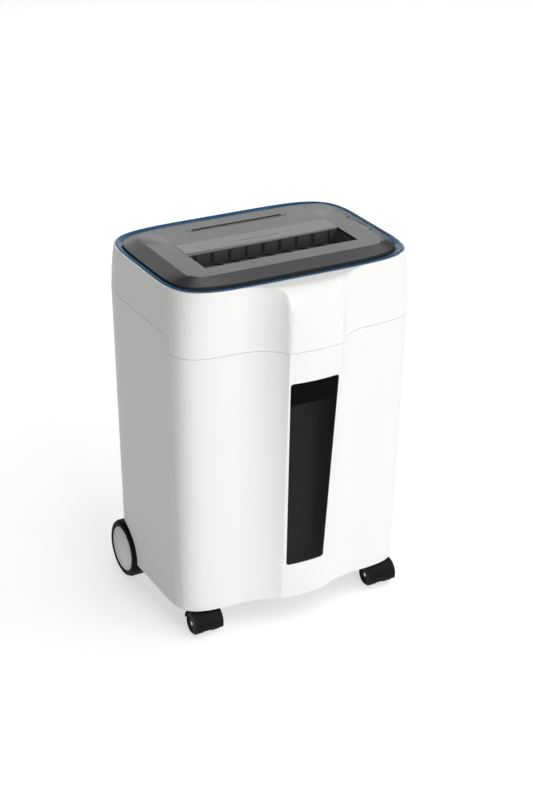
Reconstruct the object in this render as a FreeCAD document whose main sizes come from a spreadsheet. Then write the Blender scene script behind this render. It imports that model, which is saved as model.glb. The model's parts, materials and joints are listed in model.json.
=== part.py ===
"""Office paper shredder on casters: a head with the cutters and drive, over a cabinet with a pull-out bin.

Lengths are millimetres. X runs to the right, Y to the back and Z up. Every piece is drawn in the cabinet's own
frame, centred on the rim, and then set back by half of the nose's reach so that the origin is the centre of the
footprint, on the floor.
"""
import FreeCAD, Part
import math
import os
import re

import Sketcher

V = FreeCAD.Vector
doc = FreeCAD.newDocument("paper_shredder")

# ---------------------------------------------------------------- driving dimensions
SIZES = [
    # outer shape
    ("rim_half_width", 192.5), ("rim_half_depth", 140.2), ("rim_height", 551), ("rim_power", 5.1),
    ("parting_height", 455), ("side_parting_height", 480), ("parting_half_width", 193),
    ("parting_half_depth", 139.5), ("body_power", 7), ("bottom_height", 40), ("bottom_half_width", 187.5),
    ("bottom_half_depth", 127.5), ("nose_reach", 34.5), ("nose_foot_reach", 17), ("nose_half", 42.5),
    ("nose_foot_half", 36), ("nose_crown", 3.5), ("nose_spread", 29), ("shoulder_height", 480),
    ("flare_start", 105), ("shell_wall", 3), ("seam", 0.5), ("fit", 0.3), ("running", 0.05),
    ("side_seam_top", -94), ("side_seam_foot", -104),
    # cover, trim ring and what is let into them
    ("cover_half_width", 181.5), ("cover_half_depth", 122.5), ("cover_edge_height", 553),
    ("cover_height", 562), ("cover_power", 5.5), ("crease_half_width", 158), ("crease_half_depth", 97),
    ("crease_setback", -5), ("crease_power", 14), ("cover_wall", 3), ("ledge_height", 544),
    ("ledge_half_width", 174), ("ledge_half_depth", 115), ("ring_height", 552.5), ("ring_flange", 2),
    ("ring_band", 8.5), ("ring_slope", 3), ("throat_half_width", 123), ("throat_front", -73),
    ("throat_back", -14), ("neck_half_width", 111), ("neck_gap", 7), ("shelf_height", 542),
    ("neck_foot", 519), ("liner_wall", 2), ("throat_rib_count", 9), ("throat_rib_pitch", 27.3),
    ("throat_rib_width", 4.4), ("throat_rib_proud", 1.6), ("strip_overhang", 0.5), ("strip_depth", 36),
    ("strip_thick", 1.5), ("disc_y", 70), ("disc_slot_length", 148), ("disc_slot_gap", 5),
    ("bezel_length", 163), ("bezel_width", 10), ("bezel_wall", 1.6), ("bezel_foot", 518),
    ("bezel_groove", 0.7), ("bay_x", 162), ("bay_y", -10.5), ("bay_length", 62), ("bay_width", 11),
    ("bay_wall", 1.2), ("bay_height", 557.5), ("bay_depth", 10), ("key_length", 57), ("key_width", 7.4),
    ("key_pivot_height", 552.5), ("key_top", 560.2), ("pin_radius", 1), ("pin_reach", 1),
    ("lens_radius", 1.6), ("lens_x", 143), ("lens_pitch", 14), ("lens_count", 4),
    # mechanism
    ("deck_height", 440), ("deck_wall", 4), ("deck_half_width", 178), ("deck_half_depth", 123),
    ("post_x", 160), ("post_y", 92), ("post_radius", 6), ("screw_radius", 2), ("screw_length", 20),
    ("axis_height", 496), ("nip_y", -18), ("cutter_spacing", 34), ("cutter_radius", 20),
    ("cutter_core", 13), ("cutter_thick", 5), ("cutter_pitch", 11), ("cutter_count", 20),
    ("cutter_notches", 6), ("journal_radius", 5), ("bearing_wall", 3), ("plate_inner", 116),
    ("plate_wall", 4), ("plate_back", 100), ("plate_front", -62), ("gear_plate_front", -126),
    ("plate_top", 534), ("chute_half_width", 108), ("chute_front", -46), ("chute_back", 12),
    ("disc_chute_half_width", 74), ("disc_chute_half_depth", 15), ("disc_spacing", 24),
    ("disc_cutter_radius", 14), ("disc_cutter_core", 9), ("disc_cutter_thick", 4), ("disc_cutter_pitch", 9),
    ("disc_cutter_count", 14), ("sync_module", 2), ("sync_teeth", 17), ("drive_module", 1.25),
    ("drive_teeth", 56), ("idler_small_teeth", 12), ("motor_module", 1), ("idler_large_teeth", 48),
    ("pinion_teeth", 10), ("transfer_module", 1), ("transfer_teeth", 59), ("disc_sync_module", 1.5),
    ("disc_sync_teeth", 16), ("gear_wall", 6), ("sync_gear_x", 122), ("drive_gear_x", 133),
    ("motor_gear_x", 141), ("transfer_gear_x", -131), ("motor_angle", 215), ("motor_radius", 28),
    ("motor_length", 118), ("motor_wall", 2.5), ("rotor_radius", 21), ("motor_shaft_radius", 4),
    ("fan_radius", 24), ("fan_wall", 7), ("idler_stud_radius", 4), ("gear_cover_wall", 1.6),
    ("gear_cover_corner", 12), ("gear_cover_reach", 152), ("tie_radius", 4), ("board_x", -66),
    ("board_y", -100), ("board_length", 76), ("board_width", 44), ("board_wall", 1.6),
    # back of the head
    ("inlet_x", 70), ("inlet_length", 60), ("inlet_width", 28), ("inlet_height", 505), ("inlet_depth", 26),
    ("socket_length", 27), ("socket_width", 19), ("socket_depth", 17), ("switch_length", 15),
    ("switch_width", 21), ("switch_pivot_depth", 5.5), ("grille_x", -60), ("grille_length", 84),
    ("grille_slots", 9), ("grille_slot_width", 4),
    # cabinet, base and bin
    ("base_height", 52), ("base_wall", 4), ("base_skirt_foot", 42), ("base_skirt_top", 60),
    ("base_half_width", 183), ("base_half_depth", 121), ("notch_reach", 18), ("jamb_inner", 168), ("jamb_wall", 3),
    ("rail_x", 163.5), ("rail_wall", 3), ("rail_height", 9), ("rail_front", -82), ("rail_back", 38),
    ("bucket_half_width", 162), ("bucket_front", -114), ("bucket_back", 112), ("bucket_top", 372),
    ("bucket_wall", 2.5), ("bucket_corner", 14), ("bucket_foot", 61), ("runner_width", 6),
    ("bin_boss_radius", 6), ("bin_boss_inset", 32), ("bin_boss_low", 110), ("bin_boss_high", 330),
    ("bin_screw_length", 10), ("window_top", 406), ("window_foot", 99), ("window_half_top", 39),
    ("window_half_foot", 31), ("window_corner", 4), ("window_wall", 2.5), ("window_inset", 0.6),
    # wheels
    ("caster_x", 150), ("caster_y", -100), ("caster_trail", 13), ("caster_radius", 18),
    ("caster_wheel_wall", 15), ("caster_web", 6), ("caster_gap", 0.8), ("hood_radius", 20),
    ("hood_wall", 1.5), ("caster_axle_radius", 3), ("stem_radius", 5), ("stem_top", 50),
    ("socket_radius", 14), ("socket_foot", 44), ("rear_wheel_y", 92), ("rear_radius", 45.5),
    ("rear_outer", 192.5), ("rear_wall", 28), ("cap_radius", 35.5), ("cap_recess", 1.2),
    ("rear_axle_radius", 5), ("arch_gap", 3.5), ("arch_inner", 161), ("axle_block_x", 148),
]
sheet = doc.addObject("Spreadsheet::Sheet", "sizes")
for row, (alias, value) in enumerate(SIZES, start=1):
    sheet.set(f"A{row}", alias)
    sheet.set(f"B{row}", str(value))
    sheet.setAlias(f"B{row}", alias)
doc.recompute()
ALIASES = {alias for alias, _ in SIZES}


def size(alias):
    return float(sheet.get(alias))


def bound(text):
    """An expression on the sheet, from words that are the sheet's aliases."""
    return re.sub(r"[a-z_]+[a-z]", lambda m: "sizes." + m[0] if m[0] in ALIASES else m[0], str(text))


def bind(thing, **expressions):
    for name, text in expressions.items():
        thing.setExpression(name.replace("__", "."), bound(text))
    return thing


def move(thing, x=0, y=0, z=0):
    return bind(thing, Placement__Base__x=x, Placement__Base__y=y, Placement__Base__z=z)


# ---------------------------------------------------------------- building blocks
TURN = {
    "x": FreeCAD.Rotation(V(0, 1, 0), 90),
    "y": FreeCAD.Rotation(V(1, 0, 0), -90),
    "z": FreeCAD.Rotation(),
}
sub_parts = []


def keep(thing, label):
    """Names a finished sub-part and sets it back, so that the origin is the centre of the footprint."""
    if any("Placement.Base.y" in entry[0] for entry in thing.ExpressionEngine):
        thing = group(thing)
    thing.Label = label
    bind(thing, Placement__Base__y="(nose_reach + nose_crown + parting_half_depth - rim_half_depth) / 2")
    sub_parts.append(thing)
    return thing


def block(x, y, z):
    """A box between pairs of expressions."""
    box = doc.addObject("Part::Box", "block")
    bind(box, Length=f"({x[1]}) - ({x[0]})", Width=f"({y[1]}) - ({y[0]})", Height=f"({z[1]}) - ({z[0]})")
    return move(box, x[0], y[0], z[0])


def rod(axis, radius, span, a, b):
    """A cylinder along x, y or z over a span, with the two other coordinates in X, Y, Z order."""
    cylinder = doc.addObject("Part::Cylinder", "rod")
    cylinder.Placement = FreeCAD.Placement(V(), TURN[axis])
    bind(cylinder, Radius=radius, Height=f"({span[1]}) - ({span[0]})")
    where = {"x": (span[0], a, b), "y": (a, span[0], b), "z": (a, b, span[0])}[axis]
    return move(cylinder, *where)


def fuse(*pieces):
    joined = doc.addObject("Part::MultiFuse", "joined")
    joined.Shapes = list(pieces)
    return joined


def group(*pieces):
    """Separate solids that share one node."""
    gathered = doc.addObject("Part::Compound", "gathered")
    gathered.Links = list(pieces)
    return gathered


def cut(base, *tools):
    result = doc.addObject("Part::Cut", "cut")
    result.Base = base
    result.Tool = tools[0] if len(tools) == 1 else fuse(*tools)
    return result


def formed(shape):
    """A shape that no primitive gives, from Part's own functions."""
    feature = doc.addObject("Part::Feature", "formed")
    feature.Shape = shape if shape.Placement.isIdentity() else Part.makeCompound([shape])
    return feature


def upright(edge):
    ends = [vertex.Point for vertex in edge.Vertexes]
    return len(ends) == 2 and abs(ends[0].z - ends[1].z) > 0.9 * edge.Length > 1


def across(edge):
    ends = [vertex.Point for vertex in edge.Vertexes]
    return len(ends) == 2 and abs(ends[0].x - ends[1].x) > 0.9 * edge.Length > 1


def rounded(base, radius, choose):
    """Fillets the edges that choose picks."""
    doc.recompute()
    fillet = doc.addObject("Part::Fillet", "rounded")
    fillet.Base = base
    fillet.Edges = [(i, radius, radius) for i, edge in enumerate(base.Shape.Edges, start=1) if choose(edge)]
    return fillet


def about(middle, width):
    """A span of a width about its middle, as a pair of expressions."""
    return f"{middle} - ({width}) / 2", f"{middle} + ({width}) / 2"


def hand(sign, near, far):
    """A span on the right, or the same one on the left."""
    return (near, far) if sign > 0 else (f"-({far})", f"-({near})")


def plane(body, role):
    return next(o for o in body.Origin.OriginFeatures if o.Role == role)


def turned(name, profile):
    """A body turned about the Z axis from a profile of (radius, height) pairs, each a pair of expressions."""
    body = doc.addObject("PartDesign::Body", name)
    sketch = body.newObject("Sketcher::SketchObject", name + "_profile")
    sketch.AttachmentSupport = [(plane(body, "XZ_Plane"), "")]
    sketch.MapMode = "FlatFace"
    count = len(profile)
    sketch.addGeometry([Part.LineSegment(V(10 + i, i * i, 0), V(11 + i, (i + 1) ** 2, 0)) for i in range(count)])
    for i in range(count):
        sketch.addConstraint(Sketcher.Constraint("Coincident", i, 2, (i + 1) % count, 1))
    for i, (radius, height) in enumerate(profile):
        for kind, text in (("DistanceX", radius), ("DistanceY", height)):
            index = sketch.addConstraint(Sketcher.Constraint(kind, -1, 1, i, 1, 1.0))
            sketch.setExpression(f"Constraints[{index}]", bound(text))
    revolution = body.newObject("PartDesign::Revolution", name + "_turn")
    revolution.Profile = sketch
    revolution.ReferenceAxis = (sketch, ["V_Axis"])
    revolution.Angle = 360
    return body


# ---------------------------------------------------------------- the outer shape
CORNER_STEPS = (0, 0.4, 2, 6, 12, 20, 30, 40, 50, 60, 70, 78, 84, 88, 89.6, 90)


def oval_point(half_width, half_depth, power, degrees):
    """A point of a rounded rectangle, |x/a|^n + |y/b|^n = 1, from the right hand side round by the back."""
    c = math.cos(math.radians(degrees))
    s = math.sin(math.radians(degrees))
    x = math.copysign(abs(c) ** (2 / power), c) if abs(c) > 1e-9 else 0
    y = math.copysign(abs(s) ** (2 / power), s) if abs(s) > 1e-9 else 0
    return V(half_width * x, half_depth * y, 0)


def spacing(points):
    """Each point's share of the way along a line of points, which places it on a spline."""
    travelled = [0]
    for a, b in zip(points, points[1:]):
        travelled.append(travelled[-1] + a.distanceToPoint(b))
    return [length / travelled[-1] for length in travelled]


def curve(points, shares):
    """A spline through points; curves with the same shares run alongside each other in a loft."""
    spline = Part.BSplineCurve()
    spline.interpolate(Points=points, Parameters=shares)
    return spline.toShape()


def oval(half_width, half_depth, power, z, back=0):
    """A closed rounded rectangle at a height, in four quarters."""
    edges = []
    for quarter in range(4):
        angles = [quarter * 90 + s for s in CORNER_STEPS]
        points = [oval_point(half_width, half_depth, power, angle) + V(0, back, z) for angle in angles]
        pattern = [oval_point(size("rim_half_width"), size("rim_half_depth"), 8, angle) for angle in angles]
        edges.append(curve(points, spacing(pattern)))
    return Part.Wire(edges)


def prism(wire, vector):
    return Part.Face(wire).extrude(vector)


def oval_plate(half_width, half_depth, power, z, height, back=0):
    return prism(oval(half_width, half_depth, power, z, back), V(0, 0, height))


def blend(low, high, share):
    return low + (high - low) * share


def section_sizes(z, inset=0, drop=0):
    """Half width, half depth, power, nose reach and nose half width of the shell at a height.

    Below the parting line everything runs straight down to the foot. Above it the nose leans in and spreads into
    a shoulder that closes flush with the rim. An inner wall is inset, and its shoulder closes lower by drop.
    """
    parting = size("parting_height")
    if z <= parting:
        share = (z - size("bottom_height")) / (parting - size("bottom_height"))
        width = blend(size("bottom_half_width"), size("parting_half_width"), share)
        depth = blend(size("bottom_half_depth"), size("parting_half_depth"), share)
        reach = blend(size("nose_foot_reach"), size("nose_reach"), share)
        half = blend(size("nose_foot_half"), size("nose_half"), share)
        power = size("body_power")
    else:
        share = (z - parting) / (size("rim_height") - parting)
        width = blend(size("parting_half_width"), size("rim_half_width"), share)
        depth = blend(size("parting_half_depth"), size("rim_half_depth"), share)
        power = blend(size("body_power"), size("rim_power"), share ** 2)
        rise = size("rim_height") - drop - size("shoulder_height")
        lean = min(max((z - size("shoulder_height")) / rise, 0), 1)
        reach = size("nose_reach") * (1 - lean ** 3) ** (1 / 3)
        half = size("nose_half") + size("nose_spread") * lean ** 20
    return width - inset, depth - inset, power, max(reach, 0.4), half - inset


def section_lines(z, inset=0, drop=0):
    """The shell's outline at a height as rows of points: back, corner, flare, nose, flare and corner."""
    width, depth, power, reach, half = section_sizes(z, inset, drop)
    start = size("flare_start")
    span = start - half
    bend = (span ** 2 + reach ** 2) / (2 * reach)
    crown = size("nose_crown") * min(reach / size("nose_foot_reach"), 1)

    def front(x):
        flat = depth * (1 - (abs(x) / width) ** power) ** (1 / power)
        if abs(x) > half:
            return V(x, -flat - bend + math.sqrt(bend ** 2 - (start - abs(x)) ** 2), z)
        return V(x, -flat - reach - crown * (1 - (x / half) ** 2), z)

    back = [oval_point(width, depth, power, s) + V(0, 0, z) for s in CORNER_STEPS]
    back += [V(-p.x, p.y, z) for p in reversed(back[:-1])]
    last = math.degrees(math.acos((start / width) ** (power / 2)))
    corner = [oval_point(width, depth, power, -last * s / 90) + V(0, 0, z) for s in CORNER_STEPS]
    flare = [front(start - span * i / 6) for i in range(7)]
    nose = [front(half * (1 - i / 4)) for i in range(9)]
    left_corner, left_flare = [[V(-p.x, p.y, z) for p in line] for line in (corner, flare)]
    return back, left_corner, left_flare, nose[::-1], flare[::-1], corner[::-1]


SHELL_SPACING = [spacing(line) for line in section_lines(size("parting_height"))]


def section(z, inset=0, drop=0):
    """The shell's closed outline at a height."""
    lines = section_lines(z, inset, drop)
    return Part.Wire([curve(line, shares) for line, shares in zip(lines, SHELL_SPACING)])


def column(low, high, inset=0, nose=True):
    """The straight part of the shell between two heights, as a solid."""
    if nose:
        wires = [section(z, inset) for z in (low, high)]
    else:
        wires = [oval(*section_sizes(z, inset)[:3], z) for z in (low, high)]
    return Part.makeLoft(wires, True, True)


def head_solid(inset=0, drop=0):
    """The head's outer or inner shape from the parting line to the rim."""
    shoulder, rim = size("shoulder_height"), size("rim_height")
    levels = [size("parting_height"), blend(size("parting_height"), shoulder, 0.5)]
    levels += [blend(shoulder, rim, s) for s in (0, 0.3, 0.5, 0.66, 0.78, 0.87, 0.93, 0.97, 0.99, 1)]
    return Part.makeLoft([section(z, inset, drop) for z in levels], True, False)


def side_line(z):
    """How far forward the side panel reaches at a height: the joint between it and the bin's front."""
    share = (z - size("bottom_height")) / (size("parting_height") - size("bottom_height"))
    return blend(size("side_seam_foot"), size("side_seam_top"), share)


def side_tool(gap):
    """Everything behind the joint line and under the head's side edge, less a gap; an arc dips at the front."""
    far, low = 400, -10
    wide = 500
    line_low, line_high = side_line(low) + gap, side_line(size("parting_height")) + gap
    top = size("side_parting_height") - gap
    dip = 14
    wire = Part.makePolygon([V(-wide / 2, far, top), V(-wide / 2, far, low), V(-wide / 2, line_low, low),
                             V(-wide / 2, line_high, size("parting_height"))])
    arc = Part.Arc(V(-wide / 2, line_high, size("parting_height")),
                   V(-wide / 2, line_high + 0.3 * dip, blend(size("parting_height"), top, 0.7)),
                   V(-wide / 2, line_high + dip, top)).toShape()
    closing = Part.makeLine(V(-wide / 2, line_high + dip, top), V(-wide / 2, far, top))
    return prism(Part.Wire(wire.Edges + [arc, closing]), V(wide, 0, 0))


# ---------------------------------------------------------------- head: shell, ring and cover
def head_shell():
    """The white upper casing: open below, with a ledge inside the rim for the ring and the cover."""
    rim, parting = size("rim_height"), size("parting_height")
    wall, ledge = size("shell_wall"), size("ledge_height")
    shell = head_solid().cut(head_solid(wall, wall))
    low_oval = section_sizes(ledge - wall)
    ring = oval_plate(low_oval[0] - wall + 0.5, low_oval[1] - wall + 0.5, low_oval[2], ledge - wall, wall)
    ring = ring.cut(oval_plate(size("ledge_half_width"), size("ledge_half_depth"), size("cover_power"),
                               ledge - 2 * wall, 3 * wall))
    shell = shell.fuse(ring).cut(side_tool(0))
    back = size("rim_half_depth")
    openings = []
    for x, length in ((size("inlet_x"), size("inlet_length")), (size("grille_x"), size("grille_length"))):
        width = size("inlet_width") + 2 * size("fit")
        corner = V(x - length / 2 - size("fit"), back - 20, size("inlet_height") - width / 2)
        openings.append(Part.makeBox(length + 2 * size("fit"), 30, width, corner))
    shell = shell.cut(openings)
    posts = []
    for sx in (-1, 1):
        for sy in (-1, 1):
            foot = V(sx * size("post_x"), sy * size("post_y"), size("deck_height"))
            post = Part.makeCylinder(size("post_radius"), ledge - wall / 2 - foot.z, foot)
            hole = Part.makeCylinder(size("screw_radius") + size("running"), size("screw_length"), foot - V(0, 0, 1))
            posts.append(post.cut(hole))
    return keep(formed(shell.fuse(posts)), "head_shell")


def trim_ring():
    """The blue ring let in between the rim and the cover: a band that slopes inwards, on a thin flange."""
    foot, top = size("ledge_height"), size("ring_height")
    flange, band, slope = size("ring_flange"), size("ring_band"), size("ring_slope")
    wall = size("shell_wall") + size("fit")
    width, depth, power = size("rim_half_width") - wall, size("rim_half_depth") - wall, size("rim_power")
    outer = oval_plate(width, depth, power, foot, top - foot)
    outer = outer.cut(oval_plate(size("cover_half_width") + size("fit"), size("cover_half_depth") + size("fit"),
                                 size("cover_power"), foot - 1, top - foot + 2))
    outer = outer.cut(oval_plate(width - band, depth - band, power, foot + flange, top))
    funnel = Part.makeLoft([oval(width - band, depth - band, power, top - slope), oval(width, depth, power, top)],
                           True, True)
    return keep(formed(outer.cut(funnel)), "trim_ring")


def cover_solid(inset, drop):
    edge = (size("cover_half_width") - inset, size("cover_half_depth") - inset, size("cover_power"))
    crease = (size("crease_half_width") - inset, size("crease_half_depth") - inset, size("crease_power"))
    foot = size("ledge_height") - (1 if drop else 0)
    skirt = oval_plate(*edge, foot, size("cover_edge_height") - drop - foot)
    bevel = Part.makeLoft([oval(*edge, size("cover_edge_height") - drop),
                           oval(*crease, size("cover_height") - drop, size("crease_setback"))], True, True)
    return skirt.fuse(bevel)


def stadium(length, width, x, y, z, along="x"):
    """An upright block with round ends, from expressions."""
    straight, end = f"({length}) - ({width})", f"(({length}) - ({width})) / 2"
    if along == "x":
        slab = block(about(x, straight), about(y, width), z)
        ends = [(f"{x} {sign} {end}", y) for sign in "-+"]
    else:
        slab = block(about(x, width), about(y, straight), z)
        ends = [(x, f"{y} {sign} {end}") for sign in "-+"]
    return fuse(slab, *[rod("z", f"({width}) / 2", z, *place) for place in ends])


LENS_PLACES = [("lens_x", f"bay_y + ({i} - (lens_count - 1) / 2) * lens_pitch")
               for i in range(int(size("lens_count")))]


def top_cover():
    """The grey cover: a flat top inside four bevels, with openings for the throat, the disc slot and the key."""
    shell = formed(cover_solid(0, 0).cut(cover_solid(size("cover_wall"), size("cover_wall"))))
    deep = ("ledge_height - 1", "cover_height + 1")
    back_lip = "(throat_back + liner_wall)"
    throat = block(about("0", "2 * throat_half_width"), ("throat_front", back_lip), deep)
    seat = block(about("0", "2 * (throat_half_width + strip_overhang + fit)"),
                 (f"{back_lip} - 1", f"{back_lip} - 1 + strip_depth + fit"),
                 ("cover_height - strip_thick", "cover_height + 1"))
    slot = stadium("bezel_length + 2 * bezel_groove", "bezel_width + 2 * bezel_groove", "0", "disc_y", deep)
    bay = stadium("bay_length + 2 * fit", "bay_width + 2 * fit", "bay_x", "bay_y", deep, "y")
    lights = [rod("z", "lens_radius + fit / 3", deep, *place) for place in LENS_PLACES]
    keep(cut(shell, throat, seat, slot, bay, *lights), "top_cover")


def rectangle(half_width, front, back, z):
    corners = [V(-half_width, front, z), V(half_width, front, z), V(half_width, back, z), V(-half_width, back, z)]
    return Part.makePolygon(corners + corners[:1])


def throat_void(out):
    """The way in for paper, swollen by out: a sloping shelf that leads back to a narrow upright neck."""
    half, neck = size("throat_half_width") + out, size("neck_half_width") + out
    front, back = size("throat_front") - out, size("throat_back") + out
    neck_front = size("throat_back") - size("neck_gap") - out
    top = size("cover_height") - size("cover_wall") - size("running")
    shelf = size("shelf_height") - out
    mouth = Part.makeLoft([rectangle(half, front, back, top), rectangle(neck, neck_front, back, shelf)], True, True)
    foot = size("neck_foot") - (0 if out else 1)
    channel = Part.makeBox(2 * neck, back - neck_front, shelf - foot, V(-neck, neck_front, foot))
    return mouth.fuse(channel)


def throat_liner():
    """The dark funnel under the mouth."""
    return keep(formed(throat_void(size("liner_wall")).cut(throat_void(0))), "throat_liner")


def throat_ribs():
    """Pairs of black guide ribs: one widens forward along the shelf, and one widens up the back wall."""
    proud, top = size("throat_rib_proud"), size("cover_height") - size("cover_wall") - size("running")
    front, back = size("throat_front"), size("throat_back")
    neck_front = back - size("neck_gap")
    slope = (top - size("shelf_height")) / (neck_front - front)
    wide, narrow = size("throat_rib_width") / 2, size("throat_rib_width") / 3
    count = int(size("throat_rib_count"))
    ribs = []
    for i in range(count):
        x = (i - (count - 1) / 2) * size("throat_rib_pitch")
        shelf_ends = []
        for y, half in ((front + 2, wide), (neck_front - 1, narrow)):
            z = top - slope * (y - front)
            corners = [V(x - half, y, z), V(x + half, y, z), V(x + half, y, z + proud), V(x - half, y, z + proud)]
            shelf_ends.append(Part.makePolygon(corners + corners[:1]))
        wall_ends = []
        for z, half in ((size("shelf_height") + 2.5, narrow), (top - 0.6, wide)):
            wall_ends.append(rectangle(half, back - proud, back, z))
            wall_ends[-1].translate(V(x, 0, 0))
        ribs += [Part.makeLoft(ends, True, True) for ends in (shelf_ends, wall_ends)]
    return keep(formed(Part.makeCompound(ribs)), "throat_ribs")


def guide_strip():
    """The paler strip behind the mouth, whose front edge rolls down into it."""
    half, top, thick = size("throat_half_width") + size("strip_overhang"), size("cover_height") + 0.4, size("strip_thick")
    lip_back = size("throat_back") + size("liner_wall") - size("fit")
    lip_front = size("throat_back") - 0.5
    back = size("throat_back") + size("liner_wall") - 1 + size("strip_depth")
    under = size("cover_height") - thick
    lip_foot = size("cover_height") - size("cover_wall") - size("running") + size("fit")
    outline = [(back, under), (back, top), (lip_front, top), (lip_front, lip_foot), (lip_back, lip_foot),
               (lip_back, under)]
    half_lip = size("throat_half_width") - size("fit")
    points = [V(-half_lip, y, z) for y, z in outline]
    lip = prism(Part.makePolygon(points + points[:1]), V(2 * half_lip, 0, 0))
    plate = Part.makeBox(2 * half, back - lip_back, top - under, V(-half, lip_back, under))
    strip = plate.fuse(lip).removeSplitter()
    front_edges = [e for e in strip.Edges if e.Length > half and all(
        abs(v.Y - lip_front) < 0.01 and abs(v.Z - top) < 0.01 for v in e.Vertexes)]
    return keep(formed(strip.makeFillet(1.2, front_edges)), "guide_strip")


def disc_slot_bezel():
    """The flush frame of the disc slot with the chute under it."""
    flange = stadium("bezel_length", "bezel_width", "0", "disc_y",
                     ("cover_height - cover_wall", "cover_height + 0.3"))
    chute = block(about("0", "disc_slot_length + 2 * bezel_wall"),
                  about("disc_y", "disc_slot_gap + 2 * bezel_wall"), ("bezel_foot", "cover_height"))
    slot = block(about("0", "disc_slot_length"), about("disc_y", "disc_slot_gap"),
                 ("bezel_foot - 1", "cover_height + 1"))
    keep(cut(fuse(flange, chute), slot), "disc_slot_bezel")


def indicator_lenses():
    """The row of small lights between the mouth and the key."""
    span = ("cover_height - cover_wall", "cover_height + 0.2")
    keep(group(*[rod("z", "lens_radius", span, *place) for place in LENS_PLACES]), "indicator_lenses")


def control_bay():
    """The tray that the key rocks in."""
    tray = stadium("bay_length", "bay_width", "bay_x", "bay_y", ("bay_height - bay_depth", "bay_height"), "y")
    hollow = stadium("bay_length - 2 * bay_wall", "bay_width - 2 * bay_wall", "bay_x", "bay_y",
                     ("bay_height - bay_depth + bay_wall", "bay_height + 1"), "y")
    pin_hole = rod("x", "pin_radius + running", about("bay_x", "key_width + 2 * pin_reach + 0.4"), "bay_y",
                   "key_pivot_height")
    keep(cut(tray, hollow, pin_hole), "control_bay")


def mode_rocker():
    """The long key that rocks forward and back: pointed below at its pivot and dished on top."""
    x, y, half = size("bay_x"), size("bay_y"), size("key_length") / 2
    pivot, top = size("key_pivot_height"), size("key_top")
    clear = size("fit")
    floor = size("bay_height") - size("bay_depth") + size("bay_wall")
    points = [V(0, y, floor + clear), V(0, y + half, pivot), V(0, y + half, top)]
    dish = Part.Arc(points[-1], V(0, y, top - 1.6), V(0, y - half, top)).toShape()
    rest = Part.makePolygon([V(0, y - half, top), V(0, y - half, pivot), V(0, y, floor + clear)] + points[1:])
    width = size("key_width")
    wire = Part.Wire(rest.Edges + [dish])
    wire.translate(V(x - width / 2, 0, 0))
    key = prism(wire, V(width, 0, 0))
    ends = Part.makeBox(width, 2 * half - width, 2 * top, V(x - width / 2, y - half + width / 2, 0))
    round_ends = [Part.makeCylinder(width / 2, 2 * top, V(x, y + s * (half - width / 2), 0)) for s in (-1, 1)]
    reach = width / 2 + size("pin_reach")
    pin = along_x(size("pin_radius"), x - reach, x + reach, y, pivot)
    return keep(formed(key.common(ends.fuse(round_ends)).fuse(pin)), "mode_rocker")


# ---------------------------------------------------------------- cabinet, base and bin
def cabinet_wrap():
    """The white sides and back in one moulding, with wheel arches and a jamb each side of the bin."""
    fit, top = size("fit"), size("side_parting_height")
    foot = size("bottom_height")
    outer = column(foot, top, 0, False)
    inner = column(foot - 1, top + 1, size("shell_wall"), False)
    walls = outer.cut(inner)
    jambs = []
    for side in (-1, 1):
        x = min(side * size("jamb_inner"), side * 200)
        jamb_front = size("side_seam_top") + 8
        height = size("deck_height") - size("deck_wall") - 2 - size("base_skirt_top") - 1
        jambs.append(Part.makeBox(200 - size("jamb_inner"), size("jamb_wall"), height,
                                  V(x, jamb_front, size("base_skirt_top") + 1)).common(outer))
    walls = walls.fuse(jambs).common(side_tool(size("seam")))
    wheel = (size("rear_wheel_y"), size("rear_radius"))
    inner = size("arch_inner") - 2
    arches = [along_x(size("rear_radius") + size("arch_gap"), *span, *wheel) for span in ((inner, 300), (-300, -inner))]
    return keep(formed(walls.cut(arches)), "cabinet_wrap")


def straight_block(x, y, z):
    return Part.makeBox(x[1] - x[0], y[1] - y[0], z[1] - z[0], V(x[0], y[0], z[0]))


def base_tray():
    """The black base: a plate with a skirt, caster bosses and the blocks that carry the rear axle."""
    plate_foot, wall = size("base_height"), size("base_wall")
    low, high = size("base_skirt_foot"), size("base_skirt_top")
    a, b, n = size("base_half_width"), size("base_half_depth"), size("body_power")
    skirt = oval_plate(a, b, n, low, high - low)
    skirt = skirt.cut(oval_plate(a - wall, b - wall, n, low - 1, high - low + 2))
    tray = skirt.fuse(oval_plate(a - 1, b - 1, n, plate_foot, wall))
    half = size("bucket_half_width") + 1
    tray = tray.cut(straight_block((-half, half), (-b - 1, wall - b + size("notch_reach")), (plate_foot + wall, high + 1)))
    arch = size("rear_radius") + size("arch_gap")
    wheel_y = size("rear_wheel_y")
    for side in (-1, 1):
        x = sorted((side * (size("arch_inner") - 2), side * 300))
        tray = tray.cut(straight_block(x, (wheel_y - arch, wheel_y + arch + 20), (0, 100)))
        bx = sorted((side * (size("axle_block_x") - 6), side * (size("axle_block_x") + 6)))
        tray = tray.fuse(straight_block(bx, (wheel_y - 12, wheel_y + 12), (size("rear_radius") - 9, plate_foot)))
        socket = V(side * size("caster_x"), size("caster_y"), size("socket_foot"))
        tray = tray.fuse(Part.makeCylinder(size("socket_radius") + 3, plate_foot - socket.z, socket))
        tray = tray.cut(Part.makeCylinder(size("socket_radius"), 8, socket - V(0, 0, 1)))
    axle = Part.makeCylinder(size("rear_axle_radius") + size("running"), 400,
                             V(-200, wheel_y, size("rear_radius")), V(1, 0, 0))
    return keep(formed(tray.cut(axle).removeSplitter()), "base_tray")


def caster_sockets():
    """Two steel sockets let into the base, in which the caster stems turn."""
    sockets = []
    for sign in "-+":
        place = (f"{sign}caster_x".lstrip("+"), "caster_y")
        boss = rod("z", "socket_radius", ("socket_foot", "socket_foot + 7"), *place)
        bore = rod("z", "stem_radius + running", ("socket_foot - 1", "socket_foot + 8"), *place)
        sockets.append(cut(boss, bore))
    keep(group(*sockets), "caster_sockets")


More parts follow.
